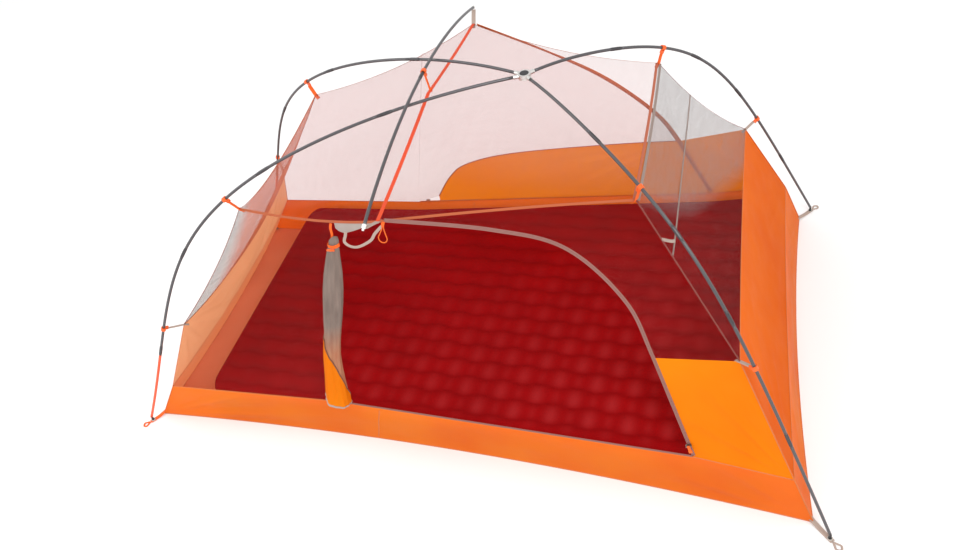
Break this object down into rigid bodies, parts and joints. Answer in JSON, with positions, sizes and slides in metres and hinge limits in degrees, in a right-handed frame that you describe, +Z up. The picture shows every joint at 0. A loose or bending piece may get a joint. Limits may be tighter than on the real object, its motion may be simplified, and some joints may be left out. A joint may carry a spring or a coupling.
{
  "type": "backpacking tent body with a sleeping mat",
  "caption": "Pitched backpacking tent body: hub-joined pole frame over a net and ripstop canopy, bathtub floor, one side door rolled open, quilted air mat on the floor.",
  "frame": {"origin": "on the ground at the centre of the footprint's bounding box", "axes": "+X towards the wide head end, -Y towards the open front door, +Z up"},
  "size_m": [2.352, 1.468, 1.0739],
  "materials": {
    "hub_metal": "satin anodised",
    "black_plastic": "matte",
    "pole": "dark anodised, satin",
    "ferrule": "dark anodised, satin",
    "white_plastic": "smooth",
    "orange_plastic": "moulded",
    "orange_webbing": "flat woven",
    "foot_plastic": "moulded",
    "floor_cloth": "coated ripstop",
    "orange_cloth": "ripstop",
    "pink_mesh": "fine net",
    "grey_mesh": "fine net",
    "red_tape": "binding tape",
    "seam_tape": "binding tape",
    "grey_zip": "zip tape",
    "orange_zip": "zip tape",
    "slider_metal": "satin",
    "orange_cord": "braided cord",
    "rolled_cloth": "rolled net and ripstop",
    "mat_cloth": "coated ripstop, slight sheen"
  },
  "bodies": {
    "tent": {"hub": "hub_metal", "hub_cap": "black_plastic", "leg_front_foot_upper": "pole", "leg_front_foot_lower": "pole", "leg_back_foot_upper": "pole", "leg_back_foot_lower": "pole", "leg_front_head_upper": "pole", "leg_front_head_lower": "pole", "leg_back_head_upper": "pole", "leg_back_head_lower": "pole", "ferrules": "ferrule", "leg_tips": "black_plastic", "brow_pole_front": "pole", "brow_pole_back": "pole", "brow_tips": "white_plastic", "clips_shoulder": "orange_plastic", "clips_mid": "orange_plastic", "clip_brow": "orange_plastic", "webbing": "orange_webbing", "corner_feet": "foot_plastic", "floor_sheet": "floor_cloth", "bathtub_front": "floor_cloth", "bathtub_back": "floor_cloth", "bathtub_foot": "floor_cloth", "bathtub_head": "floor_cloth", "foot_panel": "orange_cloth", "foot_mesh": "grey_mesh", "roof_foot_mesh": "pink_mesh", "roof_head_mesh": "pink_mesh", "head_mesh": "grey_mesh", "head_panel": "orange_cloth", "front_foot_mesh": "grey_mesh", "front_head_mesh": "grey_mesh", "front_corner_panel": "orange_cloth", "back_foot_mesh": "pink_mesh", "back_door_mesh": "pink_mesh", "back_door_panel": "orange_cloth", "back_head_mesh": "pink_mesh", "back_corner_panel": "orange_cloth", "rib_tape": "red_tape", "seam_tapes": "seam_tape", "front_zip": "grey_zip", "back_zip": "orange_zip", "sleeping_mat": "mat_cloth"},
    "rolled_door": {"front_door_roll": "rolled_cloth", "door_tie": "orange_cord"},
    "back_arc_pull": {"back_arc_pull": "orange_cord"},
    "back_arc_slider": {"back_arc_slider": "slider_metal"},
    "back_sill_pull": {"back_sill_pull": "orange_cord"},
    "back_sill_slider": {"back_sill_slider": "slider_metal"},
    "front_arc_pull": {"front_arc_pull": "orange_cord"},
    "front_arc_slider": {"front_arc_slider": "slider_metal"},
    "front_sill_pull": {"front_sill_pull": "orange_cord"},
    "front_sill_slider": {"front_sill_slider": "slider_metal"},
    "pull_loop": {"pull_loop": "orange_cord"},
    "stake_loop_back_foot": {"stake_loop_back_foot": "foot_plastic"},
    "stake_loop_back_head": {"stake_loop_back_head": "foot_plastic"},
    "stake_loop_front_foot": {"stake_loop_front_foot": "foot_plastic"},
    "stake_loop_front_head": {"stake_loop_front_head": "foot_plastic"},
    "tie_toggle": {"tie_toggle": "orange_cord"}
  },
  "joints": [
    {"name": "stake_loop_front_foot_lift", "type": "hinge", "parent": "tent", "child": "stake_loop_front_foot", "pos_m": [-1.15618, -0.5571, 0.0015], "axis": [-0.7772, 0.6292, 0], "range_deg": [0, 75]},
    {"name": "stake_loop_front_head_lift", "type": "hinge", "parent": "tent", "child": "stake_loop_front_head", "pos_m": [1.15277, -0.7096, 0.0015], "axis": [-0.7385, -0.6743, 0], "range_deg": [0, 75]},
    {"name": "stake_loop_back_foot_lift", "type": "hinge", "parent": "tent", "child": "stake_loop_back_foot", "pos_m": [-1.15618, 0.5571, 0.0015], "axis": [0.7772, 0.6292, 0], "range_deg": [0, 75]},
    {"name": "stake_loop_back_head_lift", "type": "hinge", "parent": "tent", "child": "stake_loop_back_head", "pos_m": [1.15277, 0.7096, 0.0015], "axis": [0.7385, -0.6743, 0], "range_deg": [0, 75]},
    {"name": "front_sill_slide", "type": "slide", "parent": "tent", "child": "front_sill_slider", "axis": [0.9977, -0.0683, 0], "range_m": [0, 1.08]},
    {"name": "front_arc_slide", "type": "slide", "parent": "tent", "child": "front_arc_slider", "axis": [-0.33, 0.2824, 0.9008], "range_m": [0, 0.25]},
    {"name": "front_sill_pull_swing", "type": "hinge", "parent": "front_sill_slider", "child": "front_sill_pull", "pos_m": [-0.3527, -0.52512, 0.175], "axis": [0.9977, -0.0683, 0], "range_deg": [-100, 0]},
    {"name": "front_arc_pull_swing", "type": "hinge", "parent": "front_arc_slider", "child": "front_arc_pull", "pos_m": [0.75869, -0.59039, 0.21707], "axis": [0.939, 0, 0.344], "range_deg": [-100, 0]},
    {"name": "back_sill_slide", "type": "slide", "parent": "tent", "child": "back_sill_slider", "axis": [0.9977, 0.0683, 0], "range_m": [0, 1.08]},
    {"name": "back_arc_slide", "type": "slide", "parent": "tent", "child": "back_arc_slider", "axis": [-0.33, -0.2824, 0.9008], "range_m": [0, 0.25]},
    {"name": "back_sill_pull_swing", "type": "hinge", "parent": "back_sill_slider", "child": "back_sill_pull", "pos_m": [-0.3527, 0.52512, 0.175], "axis": [0.9977, 0.0683, 0], "range_deg": [0, 100]},
    {"name": "back_arc_pull_swing", "type": "hinge", "parent": "back_arc_slider", "child": "back_arc_pull", "pos_m": [0.75869, 0.59039, 0.21707], "axis": [0.939, 0, 0.344], "range_deg": [0, 100]},
    {"name": "rolled_door_swing", "type": "hinge", "parent": "tent", "child": "rolled_door", "pos_m": [-0.395, -0.512, 0.172], "axis": [0.2741, 0.0923, 0.9573], "range_deg": [-20, 8]},
    {"name": "tie_toggle_turn", "type": "hinge", "parent": "rolled_door", "child": "tie_toggle", "pos_m": [-0.18351, -0.49122, 0.83382], "axis": [0, 1, 0], "range_deg": [-45, 45]},
    {"name": "pull_loop_swing", "type": "hinge", "parent": "tent", "child": "pull_loop", "pos_m": [0.011, -0.519, 0.954], "axis": [1, 0, 0], "range_deg": [-70, 0]}
  ]
}
